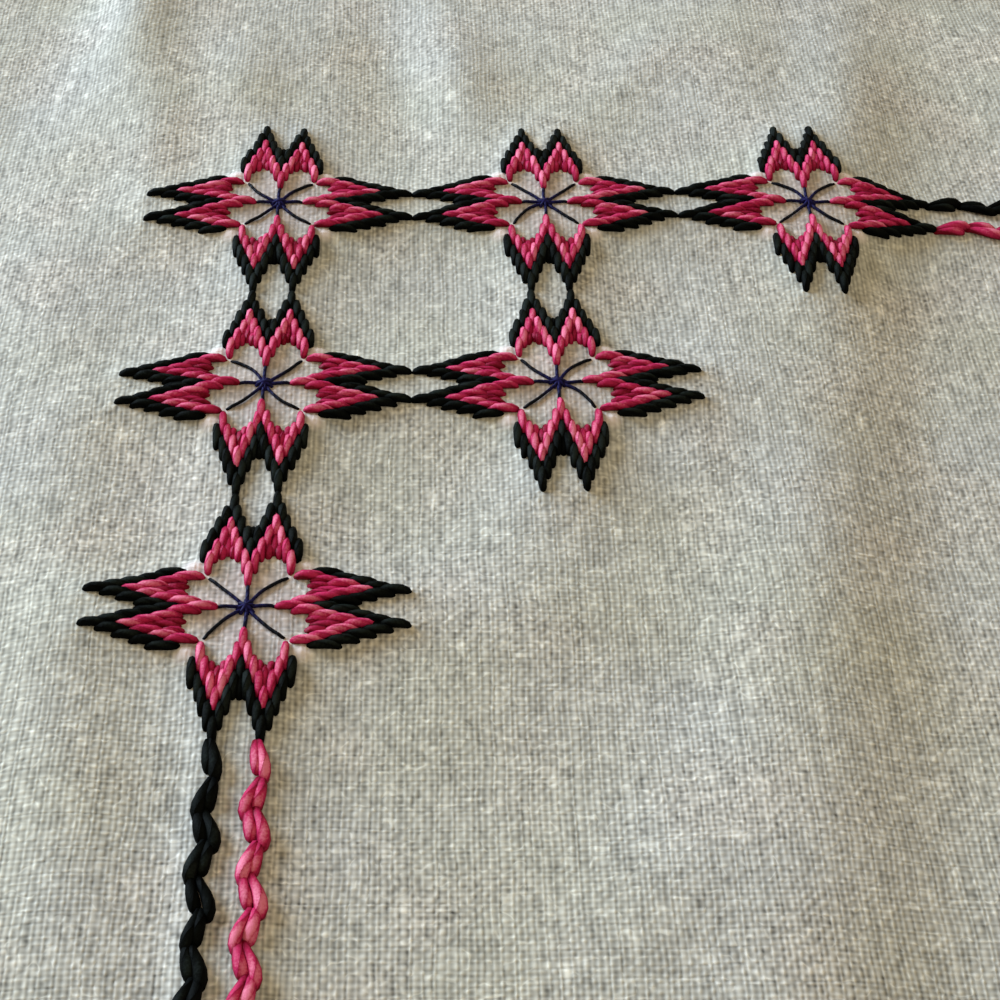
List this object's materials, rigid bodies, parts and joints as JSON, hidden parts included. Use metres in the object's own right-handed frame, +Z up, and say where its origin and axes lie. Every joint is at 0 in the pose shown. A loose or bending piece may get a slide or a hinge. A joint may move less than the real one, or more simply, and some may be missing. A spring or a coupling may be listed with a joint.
{
  "type": "embroidered tablecloth",
  "caption": "Small square tablecloth laid flat, its hem folded, with a stepped group of counted-thread stars in each corner and chain lines along its sides.",
  "frame": {"origin": "middle of the cloth, on the surface it lies on", "axes": "+Z up out of the cloth, +X along its near side, +Y away to its far side"},
  "size_m": [0.85, 0.85, 0.0057],
  "materials": {
    "linen": "matt undyed even-weave linen with slubs",
    "floss_black": "stranded embroidery cotton, greenish black, soft sheen",
    "floss_pink": "stranded embroidery cotton, deep pink, soft sheen",
    "floss_navy": "single strand of embroidery cotton, dark blue"
  },
  "bodies": {
    "root": {"cloth": "linen"}
  },
  "joints": []
}
